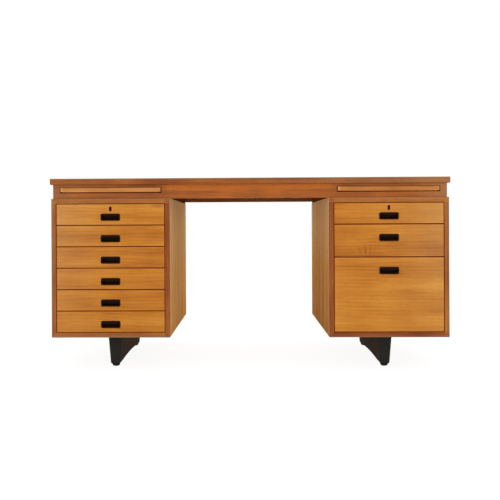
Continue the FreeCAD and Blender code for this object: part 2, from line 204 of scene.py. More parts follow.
# Painted shade on the desktop's underside
UNDERSIDE_SHADE_BROWN = paint(96, 58, 30)
INSIDE_BROWN = paint(149, 93, 45)
# Grey of oil worn off, and of painted reflection on the lippings' arrises
WORN_AND_SHEEN_GREY = paint(136, 113, 84)
# Red of oiled edges, which also paints the shade of the gaps between fronts and under the leaves
EDGE_RED_AND_GAP_SHADE = paint(138, 42, 2)
# Painted shadow of the pedestal's lip on the top left drawer's front
LIP_SHADOW_RED = paint(156, 84, 36)

# Grain: features per metre along and across it, and the detail in them
GRAIN_SWAY = (1.3, 4.0, 2.0)
GRAIN_MOTTLE = (6.0, 12.0, 2.0)
GRAIN_FIBRE = (8.0, 420.0, 3.0)
GRAIN_PORES = (34.0, 1300.0, 1.0)
STREAKS_ALONG, STREAK_DETAIL = 1.1, 3.0
PORE_LEVEL, PORE_SHARPNESS = 0.6, 8.0
FIBRE_CONTRAST, TONE_LIFT = 0.6, 0.04
RING_SHARPNESS, RING_DARKNESS = 5.0, 0.16
TONE_STOPS = (0.12, 0.5, 0.9)
PORE_SHADE, PORE_SHARE = 0.55, 0.45
FIBRE_ROUGHNESS, PORE_ROUGHNESS = 0.2, 0.15
FIBRE_HEIGHT, GRAIN_BUMP, GRAIN_DEPTH = 0.5, 0.22, 0.0004

# Edges, painted sheen, curl and painted lip shadow of the fronts, and the leaves' strips and edges: where
# they lie, then how much they change the tone or the colour
FACE_DEPTH = 0.004
PALE_BORDER, BORDER_PALENESS = 0.0035, 0.2
# Painted sheen on the fronts: paler towards the desk's end, more so higher up
FRONT_SHEEN, FRONT_SHEEN_PER_METRE_UP = 0.02, 0.34
CURL_SIZE, CURL_STRENGTH = (0.035, 0.022), 0.5
CURL_ORIGIN_BELOW, CURL_VEINS, CURL_BEND = 4.0, 7.0, (0.3, 0.2)
LIP_SHADOW_SIZE, LIP_SHADOW_STRENGTH = (0.036, 0.011), 0.6
LEAF_STRIP, LEAF_STRIP_PALENESS = 0.008, 0.5
LEAF_EDGE = 0.0012

# Stains, wear, fading, and painted light and shade elsewhere: where they lie, then how much they change the
# tone or the colour
# Skins of the desktop's underside, painted shade, and of the back rail's inner face
PANEL_SKIN, RAIL_SKIN, SKIN_TINT_STRENGTH = 0.0005, 0.001, 0.85
# Painted light and shade on the kneehole's faces: tone paler upwards and darker to the right, then a pale
# colour over the upper part
KNEEHOLE_DARKNESS, PALER_PER_METRE_UP, DARKER_PER_METRE_RIGHT = 0.2, 0.9, 0.48
LIT_FROM, LIT_OVER, PAINTED_LIGHT_SHARE = 0.4, 0.25, 0.65
TOP_DARK_FROM, TOP_DARK_OVER, TOP_DARKNESS = -0.6, 0.5, 0.1
TOP_WORN_FROM, TOP_WORN_OVER, TOP_WORN_SHARE = -0.1, 0.8, 0.3
# Grey arrises of the lippings: painted reflection with some wear
TOP_ARRIS, TOP_ARRIS_SHARE = 0.006, 0.6
PEDESTAL_ARRIS, PEDESTAL_ARRIS_SHARE, LEFT_ARRIS_EXTRA = 0.008, 0.4, 0.45
MIDDLE_HALF, MIDDLE_FADE, MIDDLE_PALENESS = 0.37, 0.06, 0.14
# Band along the apron's upper half: partly redder veneer, partly painted light
BAND_FROM, BAND_OVER, LIT_BAND_PALENESS = 0.48, 0.25, 0.34
ENDS_FROM, ENDS_OVER, ENDS_FADING, RIGHT_END_EXTRA = 0.62, 0.14, 0.1, 0.12
OVER_DRAWERS_PALENESS, KNEEHOLE_STRIP_DARKNESS, RIGHT_END_PALENESS = 0.26, 0.2, 0.14
FOOT_STRIP_DARKNESS, LEFT_FOOT_STRIP_LIFT = 0.22, 0.34
BOX_BACK_FROM_END = (0.0225, 0.0115)


def figure(finish, grain, point, lines, sway, streaks, mottling=0.7):
    """The grain of one cut of timber: its tone from 0, dark, to 1, light, then its fibres and its pores."""
    def cloud(along, across, detail):
        scale = [across] * 3
        scale["xyz".index(grain)] = along
        return finish.noise(scale, detail, point)

    across = [part for axis, part in zip("xyz", finish.parts(point)) if axis != grain]
    ring = (across[0] * lines + across[1] * lines + cloud(*GRAIN_SWAY) * sway).fraction()
    streak = cloud(STREAKS_ALONG, streaks, STREAK_DETAIL)
    mottle = cloud(*GRAIN_MOTTLE)
    fibre = cloud(*GRAIN_FIBRE)
    pores = ((cloud(*GRAIN_PORES) - PORE_LEVEL) * PORE_SHARPNESS).held()
    clouded = streak + (mottle - NOISE_MIDDLE) * mottling + (fibre - NOISE_MIDDLE) * FIBRE_CONTRAST
    tone = clouded - ring ** RING_SHARPNESS * RING_DARKNESS + TONE_LIFT
    return tone, fibre, pores


def oiled(finish, tones, tone, fibre, pores, sheen=0.16, roughness=0.5, tints=()):
    """Oil finish on timber: colour from the tone, then stains and painted light and shade as (share, colour),
    and dark open pores.
    """
    dark = tones[0]
    colour = finish.add("ShaderNodeValToRGB", {"stops": tuple(zip(TONE_STOPS, tones))}, {0: tone})
    for share, tint in tints:
        colour = finish.blend(share, colour, tint)
    pore_colour = tuple(value * PORE_SHADE for value in dark[:3]) + (1.0,)
    return finish.done({
        "Base Color": finish.blend(pores * PORE_SHARE, colour, pore_colour),
        "Roughness": (fibre - NOISE_MIDDLE) * FIBRE_ROUGHNESS + pores * PORE_ROUGHNESS + roughness,
        "Specular IOR Level": sheen,
        "Normal": finish.bump(fibre * FIBRE_HEIGHT - pores, GRAIN_BUMP, GRAIN_DEPTH),
    })


def timber(name, grain, tones, place=(0, 0, 0), lines=95.0, sway=6.0, streaks=24.0, mottling=0.7, touch=None,
           tinted=None, **oil):
    """Timber with its grain along one axis; touch may change the tone by place, and the last argument adds
    stains, and painted light and shade, by place.
    """
    finish = Finish(name)
    point = finish.add("ShaderNodeMapping", inputs={"Vector": finish.point, "Location": place})
    tone, fibre, pores = figure(finish, grain, point, lines, sway, streaks, mottling)
    here = finish.parts(finish.point)
    if touch:
        tone = tone + touch(*here)
    return oiled(finish, tones, tone, fibre, pores, tints=tinted(*here) if tinted else (), **oil)


def mitred_timber(name, grains, tones, second_shown, lines=120.0, touch=None, tinted=None):
    """Timber of strips mitred together, whose grain turns where second_shown becomes 1."""
    finish = Finish(name)
    place = finish.parts(finish.point)
    chosen = second_shown(*place)
    first, second = [figure(finish, grain, finish.point, lines, sway=5.0, streaks=30.0) for grain in grains]
    tone, fibre, pores = [a + (b - a) * chosen for a, b in zip(first, second)]
    if touch:
        tone = tone + touch(*place)
    return oiled(finish, tones, tone, fibre, pores, tints=tinted(*place) if tinted else ())


def from_arris(node, x, y, z):
    """How far a point is from the nearest edge of a node's box."""
    low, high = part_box(node)
    first, second, third = [
        (value - start).lower_of(end - value) for value, start, end in zip((x, y, z), low, high)
    ]
    return first.lower_of(second).higher_of(first.higher_of(second).lower_of(third))


def drawer_front_teak(name, node, place, shades, gap_shade_width, curl=None, lip_shadow=None):
    """A drawer front's veneer: shaded from its left to its right end; paler towards the desk's end and more
    so higher up, which is painted sheen; thin red edges that also paint the shade of the gaps; a curl at one
    place (x, z) on one front, and a painted shadow of the lip above at one place on another."""
    low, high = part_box(node)
    middle, half = abs(low.x + high.x) / 2, (high.x - low.x) / 2

    def from_edge(x, z):
        return (x - low.x).lower_of(high.x - x).lower_of((z - low.z).lower_of(high.z - z))

    def touch(x, y, z):
        lean = (x - low.x) * ((shades[1] - shades[0]) / (high.x - low.x))
        tone = (1.0 - from_edge(x, z) / PALE_BORDER).held() * BORDER_PALENESS + lean + shades[0]
        if curl:
            aside, above = (x - curl[0]) / CURL_SIZE[0], (z - curl[1]) / CURL_SIZE[1]
            nearness = 1.0 / (aside * aside + above * above + 1.0)
            fan = aside / (above + CURL_ORIGIN_BELOW) * CURL_VEINS
            veins = (fan + aside * aside * CURL_BEND[0] + above * above * CURL_BEND[1]).fraction()
            tone = tone - veins ** 2.0 * nearness ** 2.0 * CURL_STRENGTH
        return tone

    def tinted(x, y, z):
        # Painted sheen: paler towards the desk's end, more on the higher fronts
        paler_ends = ((abs(x) - middle) / half).held() * (z * FRONT_SHEEN_PER_METRE_UP + FRONT_SHEEN)
        # Red edges, which also paint the shade of the gap round the front
        arris = (from_edge(x, z) < gap_shade_width) * (y < low.y + FACE_DEPTH)
        tints = [(paler_ends, SUN_FADED_AND_SHEEN), (arris, EDGE_RED_AND_GAP_SHADE)]
        # Painted shadow that the pedestal's lip casts on the front's upper edge
        if lip_shadow:
            aside, above = (x - lip_shadow[0]) / LIP_SHADOW_SIZE[0], (z - lip_shadow[1]) / LIP_SHADOW_SIZE[1]
            tints.insert(1, ((1.0 - aside * aside - above * above).held() * LIP_SHADOW_STRENGTH, LIP_SHADOW_RED))
        return tints

    return timber(name, "x", DRAWER_TEAK, place, lines=70.0, sway=5.0, streaks=20.0, touch=touch,
                  tinted=tinted)


def leaf_teak(side, shade):
    """A leaf's veneer, red along its lower edge, which paints the shade under the leaf, with the end grain of
    its left edge strip showing paler.
    """
    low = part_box(side + "_leaf_lipping")[0]

    def touch(x, y, z):
        return (x < low.x + LEAF_STRIP) * LEAF_STRIP_PALENESS + shade

    def tinted(x, y, z):
        # Painted shade under the leaf, as red along its lower edge
        return ((z < low.z + LEAF_EDGE) * (y < low.y + FACE_DEPTH), EDGE_RED_AND_GAP_SHADE),

    return timber(side + "_leaf_teak", "x", LEAF_TEAK, LEAF_CUTS[side], lines=75.0, touch=touch,
                  tinted=tinted)


def painted_kneehole_shading(x, y, z):
    """Faces of the kneehole with painted light and shade: darker towards the floor, and darker on the right.
    """
    return z * PALER_PER_METRE_UP - x * DARKER_PER_METRE_RIGHT - KNEEHOLE_DARKNESS


def painted_kneehole_light(x, y, z):
    """Painted light on the upper part of the kneehole's faces."""
    return (((z - LIT_FROM) / LIT_OVER).held() * PAINTED_LIGHT_SHARE, PAINTED_LIGHT_PALE),


def shaded_underside(x, y, z):
    """Painted shade: dark brown on the underside of the desktop."""
    return ((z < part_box("desktop_panel")[0].z + PANEL_SKIN) * SKIN_TINT_STRENGTH, UNDERSIDE_SHADE_BROWN),


def browned_inside(x, y, z):
    """Flat brown over the inner face of the back rail."""
    return ((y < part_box("apron_back_rail")[0].y + RAIL_SKIN) * SKIN_TINT_STRENGTH, INSIDE_BROWN),


def darker_rightwards(x, y, z):
    """The desktop's lipping, palest at its left end."""
    return ((x - TOP_DARK_FROM) / TOP_DARK_OVER).held() * -TOP_DARKNESS


def top_lipping_wear_and_sheen(x, y, z):
    """Oil worn off the desktop's lipping to the right; grey on its upper arris and its corners, painted
    reflection there with some wear.
    """
    middle = sum(corner.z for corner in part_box("desktop_lipping")) / 2
    to_right = ((x - TOP_WORN_FROM) / TOP_WORN_OVER).held()
    # Painted reflection on the upper arris and corners, with some wear
    arris = (1.0 - from_arris("desktop_lipping", x, y, z) / TOP_ARRIS).held() * (z > middle)
    return (to_right * TOP_WORN_SHARE, WORN_AND_SHEEN_GREY), (arris * TOP_ARRIS_SHARE, WORN_AND_SHEEN_GREY)


def pedestal_arris_sheen_and_wear(x, y, z):
    """Grey on the pedestals' outer corners, more on the left: painted reflection, with some oil worn off."""
    arris = (1.0 - from_arris("pedestal_lipping", x, y, z) / PEDESTAL_ARRIS).held()
    return (arris * ((x < 0.0) * LEFT_ARRIS_EXTRA + PEDESTAL_ARRIS_SHARE), WORN_AND_SHEEN_GREY),


def brighter_middle_and_lit_band(x, y, z):
    """Fresher colour between the leaves, most in a band along the upper half of the apron, which is partly
    redder veneer and partly painted light against the shade of the top's overhang.
    """
    low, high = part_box("apron_front_rail")
    rise = (z - low.z) / (high.z - low.z)
    # Painted light: the upper band made paler against the shade under the top's overhang
    band = ((rise - BAND_FROM) / BAND_OVER).held() * LIT_BAND_PALENESS + MIDDLE_PALENESS
    return ((MIDDLE_HALF - abs(x)) / MIDDLE_FADE).held() * band


def faded_ends(x, y, z):
    """Sun on the apron's ends, more on the right."""
    paler_ends = (x > 0.0) * RIGHT_END_EXTRA + ENDS_FADING
    return (((abs(x) - ENDS_FROM) / ENDS_OVER).held() * paler_ends, SUN_FADED_AND_SHEEN),


def pedestal_strip_upright(x, y, z):
    """1 on the upright strips of the pedestals' lipping, up to the mitres."""
    side_low, side_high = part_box("left_pedestal_outer_side")
    top_low, top_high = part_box("left_pedestal_top")
    middle_x = (top_low.x + top_high.x) / -2
    middle_z = (side_low.z + side_high.z) / 2
    half_x = (top_high.x - top_low.x) / 2
    half_z = (side_high.z - side_low.z) / 2
    from_side = (half_x - abs(abs(x) - middle_x)) / (side_high.x - side_low.x)
    from_level = (half_z - abs(z - middle_z)) / (top_high.z - top_low.z)
    return from_side < from_level


def lipping_shades(x, y, z):
    """Redder strips beside the kneehole, paler ones over the drawers and at the desk's right end, and strips
    over the feet that are paler on the left and darker on the right."""
    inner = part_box("right_pedestal_inner_side")[1].x
    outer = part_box("right_pedestal_outer_side")[0].x
    over_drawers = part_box("right_pedestal_top")[0].z
    under_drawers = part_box("left_pedestal_bottom")[1].z
    foot_shade = (x < 0.0) * LEFT_FOOT_STRIP_LIFT - FOOT_STRIP_DARKNESS
    shade = (z > over_drawers) * OVER_DRAWERS_PALENESS - (abs(x) < inner) * KNEEHOLE_STRIP_DARKNESS
    return shade + (x > outer) * RIGHT_END_PALENESS + (z < under_drawers) * (abs(x) > inner) * foot_shade


def top_strip_endwise(x, y, z):
    """1 on the strips across the desktop's ends, up to the mitres."""
    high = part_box("desktop_lipping")[1]
    return (high.x - abs(x)) < (high.y - abs(y))


def box_back(x, y, z):
    """1 on the boards across the back of the drawer boxes."""
    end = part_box("left_drawer_1_box")[1].y
    return (y > end - BOX_BACK_FROM_END[0]) * (y < end - BOX_BACK_FROM_END[1])


# Other finishes: the feet's grey end grain and rubbed sides, and the glides' scuffs

END_GRAIN_FADE, END_GRAIN_LIMIT = 0.012, 1.6
RUB_CONTRAST, RUB_LEVEL = 1.4, 0.2
SCUFF_HEIGHT = 0.004


def black_moulding():
    """Black moulded plastic with a fine grain in its skin."""
    finish = Finish("black_moulding")
    skin = finish.noise((900.0,) * 3, 2.0)
    wear = finish.noise((30.0, 30.0, 60.0), 3.0)
    return finish.done({
        "Base Color": finish.blend(wear, paint(22, 9, 3), paint(38, 16, 6)),
        "Roughness": (wear - NOISE_MIDDLE) * 0.2 + 0.42,
        "Specular IOR Level": 0.05,
        "Normal": finish.bump(skin, 0.12, 0.0002),
    })


def bronzed_brass():
    """Old brass gone a dark red-brown, lighter where keys have rubbed it."""
    finish = Finish("bronzed_brass")
    rubbed = finish.noise((160.0, 160.0, 90.0), 3.0)
    return finish.done({
        "Base Color": finish.blend(rubbed, paint(52, 12, 5), paint(84, 26, 10)),
        "Roughness": rubbed * 0.3 + 0.4,
        "Specular IOR Level": 0.05,
        "Normal": finish.bump(rubbed, 0.1, 0.0002),
    })


def black_lacquer():
    """Thin black lacquer, with the timber's brown just showing under it, greyer on the end grain."""
    finish = Finish("black_lacquer")
    low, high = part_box("left_foot")
    y = finish.parts(finish.point)[1]
    grain = finish.noise((160.0, 3.0, 160.0), 4.0)
    rubbed = finish.noise((14.0, 5.0, 14.0), 3.0)
    from_end = (y - low.y).lower_of(high.y - y)
    end_grain = (END_GRAIN_LIMIT - from_end / END_GRAIN_FADE).held()
    sides = finish.blend((rubbed * RUB_CONTRAST - RUB_LEVEL).held(), paint(45, 32, 21), paint(68, 49, 29))
    return finish.done({
        "Base Color": finish.blend(end_grain, sides, paint(47, 48, 45)),
        "Roughness": (grain - NOISE_MIDDLE) * 0.25 + 0.6,
        "Specular IOR Level": 0.006,
        "Normal": finish.bump(grain, 0.2, 0.0005),
    })


def glide_nylon():
    """Dull nylon, scuffed pale where it meets the floor."""
    finish = Finish("glide_nylon")
    z = finish.parts(finish.point)[2]
    scuffs = finish.noise((220.0, 220.0, 500.0), 3.0)
    near_floor = (1.0 - z / SCUFF_HEIGHT).held()
    return finish.done({
        "Base Color": finish.blend(near_floor * scuffs * 0.5, paint(28, 27, 26), paint(80, 76, 72)),
        "Roughness": scuffs * 0.3 + 0.4,
        "Specular IOR Level": 0.1,
        "Normal": finish.bump(scuffs, 0.15, 0.0003),
    })


def plated_steel():
    """Bright plated steel, brushed crosswise and slightly tarnished."""
    finish = Finish("plated_steel")
    brushed = finish.noise((40.0, 900.0, 900.0), 3.0)
    tarnish = finish.noise((60.0,) * 3, 4.0)
    return finish.done({
        "Base Color": finish.blend(tarnish, paint(150, 148, 142), paint(196, 194, 188)),
        "Metallic": 1.0,
        "Roughness": brushed * 0.22 + tarnish * 0.15 + 0.14,
        "Normal": finish.bump(brushed, 0.12, 0.0002),
    })


def japanned_steel():
    """Steel under a baked black coat, thin enough to show brown."""
    finish = Finish("japanned_steel")
    coat_depth = finish.noise((70.0,) * 3, 3.0)
    return finish.done({
        "Base Color": finish.blend(coat_depth, paint(20, 15, 12), paint(46, 32, 24)),
        "Roughness": coat_depth * 0.25 + 0.3,
        "Specular IOR Level": 0.2,
        "Normal": finish.bump(coat_depth, 0.1, 0.0003),
    })


# Pieces

MERGE_DISTANCE, FACE_TOLERANCE = 1e-6, 1e-5
FLAT_ANGLE, SHARP_ANGLE = math.radians(1), math.radians(32)
ROUNDING_STEPS = 3

# Turned pieces, as (radius, height) points, and the screws' slots and places
GLIDE_RADIUS = 0.013
GLIDE_DOME = [(0, 0), (0.0088, 0), (0.0112, 0.0008), (0.0133, 0.0024), (0.0148, 0.0048), (0.0157, 0.0078)]
GLIDE_SEAT_RADIUS = 0.0160
SCREW_DOME = [(0, -0.0006), (0.0035, -0.0006), (0.0035, 0.0001), (0.0030, 0.0006), (0.0019, 0.0010),
              (0, 0.0011)]
SCREW_SLOT, SCREW_SLOT_HEIGHT = (0.01, 0.0009, 0.0015), 0.0012
SCREW_TURN_SEED = 7
BACK_SCREWS = {"Across": 4, "Up": 4}
BACK_SCREW_MARGIN = 0.03
LOCK_SCREWS = {"Width": 0.046, "Height": 0.022, "Across": 2, "Up": 2}
BORDER_SHARE = 0.49


def place_piece(piece, body, finish, *nodes):
    """Puts a new piece on a body, in place of the CAD nodes that it stands for."""
    if piece.name not in bpy.context.scene.collection.objects:
        bpy.context.scene.collection.objects.link(piece)
    piece.data.materials.clear()
    piece.data.materials.append(finish)
    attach(piece, body)
    if nodes:
        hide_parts(*nodes)
    return piece


def coat(finish, *nodes):
    """Gives CAD nodes a finish."""
    for node in nodes:
        for place in cad_nodes[node].material_slots:
            place.material = finish


def spread_rim(form, face, core, reach, aside, up, down):
    """Widens the outer edge of a rim that stands proud of a drawer's face."""
    spans = [sorted(vert.co[axis] for vert in form.verts) for axis in (0, 2)]
    (middle_x, half_x), (middle_z, half_z) = [((s[0] + s[-1]) / 2, (s[-1] - s[0]) / 2) for s in spans]
    for vert in form.verts:
        across, rise = vert.co.x - middle_x, vert.co.z - middle_z
        beyond = math.hypot(max(abs(across) - core[0], 0.0), max(abs(rise) - core[1], 0.0))
        if vert.co.y < face + FACE_TOLERANCE and beyond > reach:
            vert.co.x += aside * across / half_x
            vert.co.z += (up if rise > 0.0 else down) * rise / half_z


def softened(node, body, finish, width, rim=None):
    """A merged copy of a CAD node whose sharp edges are slightly rounded, to stand for it."""
    form = bmesh.new()
    form.from_mesh(cad_nodes[node].data)
    bmesh.ops.remove_doubles(form, verts=form.verts, dist=MERGE_DISTANCE)
    bmesh.ops.dissolve_limit(form, angle_limit=FLAT_ANGLE, verts=form.verts, edges=form.edges)
    sharp = [e for e in form.edges if e.is_manifold and e.calc_face_angle() > SHARP_ANGLE]
    made = bmesh.ops.bevel(form, geom=sharp, offset=width, segments=ROUNDING_STEPS, profile=0.5,
                           affect="EDGES", clamp_overlap=True)
    for face in made["faces"]:
        face.smooth = True
    if rim:
        spread_rim(form, **rim)
    mesh = bpy.data.meshes.new(node + "_soft")
    form.to_mesh(mesh)
    form.free()
    place_piece(bpy.data.objects.new(node + "_soft", mesh), body, finish, node)


def turned(name, profile, centres, sides=36):
    """One mesh of like turned pieces, from a profile of (radius, height) points, at several places."""
    form = bmesh.new()
    for centre in centres:
        rings = []
        for radius, height in profile:
            if radius == 0:
                rings.append([form.verts.new(centre + Vector((0, 0, height)))])
                continue
            turns = [2 * math.pi * step / sides for step in range(sides)]
            rings.append([
                form.verts.new(centre + Vector((radius * math.cos(turn), radius * math.sin(turn), height)))
                for turn in turns
            ])
        for lower, upper in zip(rings, rings[1:]):
            for step in range(sides):
                ahead = (step + 1) % sides
                corners = [lower[step % len(lower)], lower[ahead % len(lower)],
                           upper[ahead % len(upper)], upper[step % len(upper)]]
                form.faces.new(list(dict.fromkeys(corners))).smooth = True
    bmesh.ops.recalc_face_normals(form, faces=form.faces)
    mesh = bpy.data.meshes.new(name)
    form.to_mesh(mesh)
    form.free()
    return bpy.data.objects.new(name, mesh)


def glides():
    """Domed glides under the feet, a little wider where they meet the foot than their solids."""
    low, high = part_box("foot_glides")
    profile = GLIDE_DOME + [(GLIDE_SEAT_RADIUS, high.z), (0, high.z)]
    across, along = [(start + GLIDE_RADIUS, end - GLIDE_RADIUS) for start, end in zip(low.xy, high.xy)]
    return turned("glides", profile, [Vector((x, y, 0)) for x in across for y in along])


def screw_head():
    """A slotted round head, 7 mm across, standing on the plane z = 0."""
    dome = turned("screw_dome", SCREW_DOME, [Vector()], sides=20)
    cutter = bmesh.new()
    blade_place = Matrix.Translation((0, 0, SCREW_SLOT_HEIGHT)) @ Matrix.Diagonal((*SCREW_SLOT, 1))
    bmesh.ops.create_cube(cutter, size=1, matrix=blade_place)
    blade_mesh = bpy.data.meshes.new("screw_slot")
    cutter.to_mesh(blade_mesh)
    cutter.free()
    blade = bpy.data.objects.new("screw_slot", blade_mesh)
    for part in (dome, blade):
        bpy.context.scene.collection.objects.link(part)
    slot = dome.modifiers.new("slot", "BOOLEAN")
    slot.operation = "DIFFERENCE"
    slot.object = blade
    cut = bpy.data.meshes.new_from_object(dome.evaluated_get(bpy.context.evaluated_depsgraph_get()))
    dome.modifiers.clear()
    dome.data = cut
    bpy.data.objects.remove(blade)
    return dome


def screw_border():
    """A tree that sets screws in a rectangle's border, heads towards the back of the desk."""
    tree = bpy.data.node_groups.new("screw_border", "GeometryNodeTree")
    for name, kind in (("Width", "Float"), ("Height", "Float"), ("Across", "Int"), ("Up", "Int"),
                       ("Centre", "Vector"), ("Head", "Object"), ("Finish", "Material")):
        tree.interface.new_socket(name, in_out="INPUT", socket_type="NodeSocket" + kind)
    tree.interface.new_socket("Screws", in_out="OUTPUT", socket_type="NodeSocketGeometry")
    wiring = Wiring(tree)
    given = {s.name: Signal(wiring, s) for s in wiring.add("NodeGroupInput").socket.node.outputs if s.name}
    grid = wiring.add("GeometryNodeMeshGrid", inputs={
        "Size X": given["Width"], "Size Y": given["Height"],
        "Vertices X": given["Across"], "Vertices Y": given["Up"],
    })
    x, y = wiring.parts(wiring.add("GeometryNodeInputPosition"))[:2]
    inside = (abs(x) < given["Width"] * BORDER_SHARE) * (abs(y) < given["Height"] * BORDER_SHARE)
    border = wiring.add("GeometryNodeDeleteGeometry", {"domain": "POINT"},
                        {"Geometry": grid, "Selection": inside})
    head = wiring.add("GeometryNodeObjectInfo", inputs={"Object": given["Head"]}, output="Geometry")
    turn = wiring.add("FunctionNodeRandomValue", {"data_type": "FLOAT_VECTOR"},
                      {0: (0, 0, 0), 1: (0, 0, math.pi), "Seed": SCREW_TURN_SEED})
    heads = wiring.add("GeometryNodeInstanceOnPoints",
                       inputs={"Points": border, "Instance": head, "Rotation": turn})
    upright = wiring.add("GeometryNodeTransform", inputs={
        "Geometry": heads, "Translation": given["Centre"], "Rotation": (-math.pi / 2, 0, 0),
    })
    real = wiring.add("GeometryNodeRealizeInstances", inputs={"Geometry": upright})
    dressed = wiring.add("GeometryNodeSetMaterial", inputs={"Geometry": real, "Material": given["Finish"]})
    wiring.add("NodeGroupOutput", inputs={0: dressed})
    return tree


def from_tree(tree, name, values):
    """The plain mesh object that a tree makes with the given values."""
    piece = bpy.data.objects.new(name, bpy.data.meshes.new(name))
    bpy.context.scene.collection.objects.link(piece)
    growth = piece.modifiers.new("growth", "NODES")
    growth.node_group = tree
    for item in tree.interface.items_tree:
        if item.in_out == "INPUT":
            growth[item.identifier] = values[item.name]
    mesh = bpy.data.meshes.new_from_object(piece.evaluated_get(bpy.context.evaluated_depsgraph_get()))
    piece.modifiers.clear()
    piece.data = mesh
    return piece


def add_screws(steel):
    """Screws that hold the pedestals' backs, and those of the lock cases."""
    tree, head = screw_border(), screw_head()
    for side in SIDES:
        low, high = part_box(side + "_pedestal_back")
        spread = {"Width": high.x - low.x - BACK_SCREW_MARGIN, "Height": high.z - low.z - BACK_SCREW_MARGIN}
        for name, node, body, border in (
            ("_back_screws", "_pedestal_back", "desk", BACK_SCREWS | spread),
            ("_lock_screws", "_lock_case", side + "_drawer_1", LOCK_SCREWS),
        ):
            low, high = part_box(side + node)
            centre = ((low.x + high.x) / 2, high.y, (low.z + high.z) / 2)
            values = border | {"Centre": centre, "Head": head, "Finish": steel}
            screws = place_piece(from_tree(tree, side + name, values), body, steel)
    bpy.data.objects.remove(head)


# Dressing the desk: shades of the leaves, and of each drawer front at its left and right end, and the places
# in the timber that leaves and fronts are cut from

LEAF_CUTS = {"left": (2.0, 0.3, 0.2), "right": (2.5, 0.3, 0.2)}
FRONT_CUTS = {"left": 0.68, "right": 0.85}
FRONT_CUT_STEP = (0.31, 0.07)
LEAF_SHADES = {"left": -0.14, "right": 0.04}
DRAWER_SHADES = {
    "left": ((0.10, 0.0), (-0.12, -0.11), (-0.13, -0.14), (-0.06, 0.09), (0.11, -0.15), (-0.03, -0.03)),
    "right": ((-0.13, 0.07), (-0.07, -0.13), (0.07, 0.03)),
}
# Widths of the red edges that paint the gaps' shade, wider on the right where that shade is deeper
GAP_SHADE_WIDTHS = {"left": 0.0012, "right": 0.0015}
# The curl's place, and the place of the painted lip shadow, from the front's corners
CURL_PLACE, LIP_SHADOW_PLACE = (0.125, 0.024), (0.026, 0.007)


def dress_desk():
    rail_cut = {"lines": 80.0, "streaks": 30.0}
    side_cut = {"lines": 55.0, "sway": 7.0, "streaks": 30.0, "mottling": 0.3}
    top = timber("top_teak", "x", TOP_TEAK, (0.3, 0.1, 0), lines=60.0, sway=9.0, streaks=34.0,
                 mottling=0.25, tinted=shaded_underside)
    apron = timber("apron_teak", "x", APRON_TEAK, (0.7, 0.2, 0.1), touch=brighter_middle_and_lit_band,
                   tinted=faded_ends, **rail_cut)
    back_rail = timber("back_rail_teak", "x", APRON_TEAK, (0.2, 0.6, 0.3), tinted=browned_inside, **rail_cut)
    apron_end = timber("apron_end_teak", "y", APRON_TEAK, (0.2, 0.4, 0.1), **rail_cut)
    sides = timber("side_teak", "z", SIDE_TEAK, (0.15, 0.35, 0.6), sheen=0.03, **side_cut)
    # Kneehole faces: painted light and sheen in the colour, with the real sheen turned off
    kneehole = timber("kneehole_lit_teak", "z", KNEEHOLE_LIT_TEAK, (0.9, 0.2, 0.4), sheen=0.0,
                      touch=painted_kneehole_shading, tinted=painted_kneehole_light, **side_cut)
    levels = timber("level_teak", "x", SIDE_TEAK, (0.4, 0.1, 0.3), sheen=0.03)
    # Bearers: painted shade under the desktop, with no sheen
    bearers = timber("bearer_shaded_teak", "y", SHADED_TEAK, (0.6, 0.2, 0.1), sheen=0.0)
    backs = timber("back_teak", "z", BACK_TEAK, (0.1, 0.9, 0.2), lines=60.0, sway=8.0, streaks=24.0,
                   mottling=0.4, sheen=0.05)
    beech = timber("beech", "y", PALE_BEECH, (0.2, 0.3, 0.8), lines=140.0, sway=3.0, roughness=0.6)
    top_lips = mitred_timber("top_lipping_teak", "xy", LIPPING_TEAK, top_strip_endwise,
                             touch=darker_rightwards, tinted=top_lipping_wear_and_sheen)
    lips = mitred_timber("pedestal_lipping_teak", "xz", LIPPING_TEAK, pedestal_strip_upright,
                         touch=lipping_shades, tinted=pedestal_arris_sheen_and_wear)
    steel, japanned, lacquer = plated_steel(), japanned_steel(), black_lacquer()
    coat(top, "desktop_panel")
    coat(top_lips, "desktop_lipping")
    coat(lips, "pedestal_lipping")
    coat(apron_end, "apron_end_rails")
    coat(bearers, "leaf_bearers")
    coat(beech, "drawer_runners")
    coat(steel, "lock_strikes")
    softened("apron_front_rail", "desk", apron, RAIL_ROUNDING)
    softened("apron_back_rail", "desk", back_rail, RAIL_ROUNDING)
    place_piece(glides(), "desk", glide_nylon(), "foot_glides")
    for side in SIDES:
        coat(sides, side + "_pedestal_outer_side")
        coat(kneehole, side + "_pedestal_inner_side")
        coat(levels, side + "_pedestal_top", side + "_pedestal_bottom")
        coat(backs, side + "_pedestal_back")
        coat(lacquer, side + "_foot")
        coat(leaf_teak(side, LEAF_SHADES[side]), side + "_leaf", side + "_leaf_lipping")
        coat(japanned, side + "_lock_case")
        softened(side + "_lock_bolt", side + "_lock_bolt", steel, BOLT_ROUNDING)
    add_screws(steel)


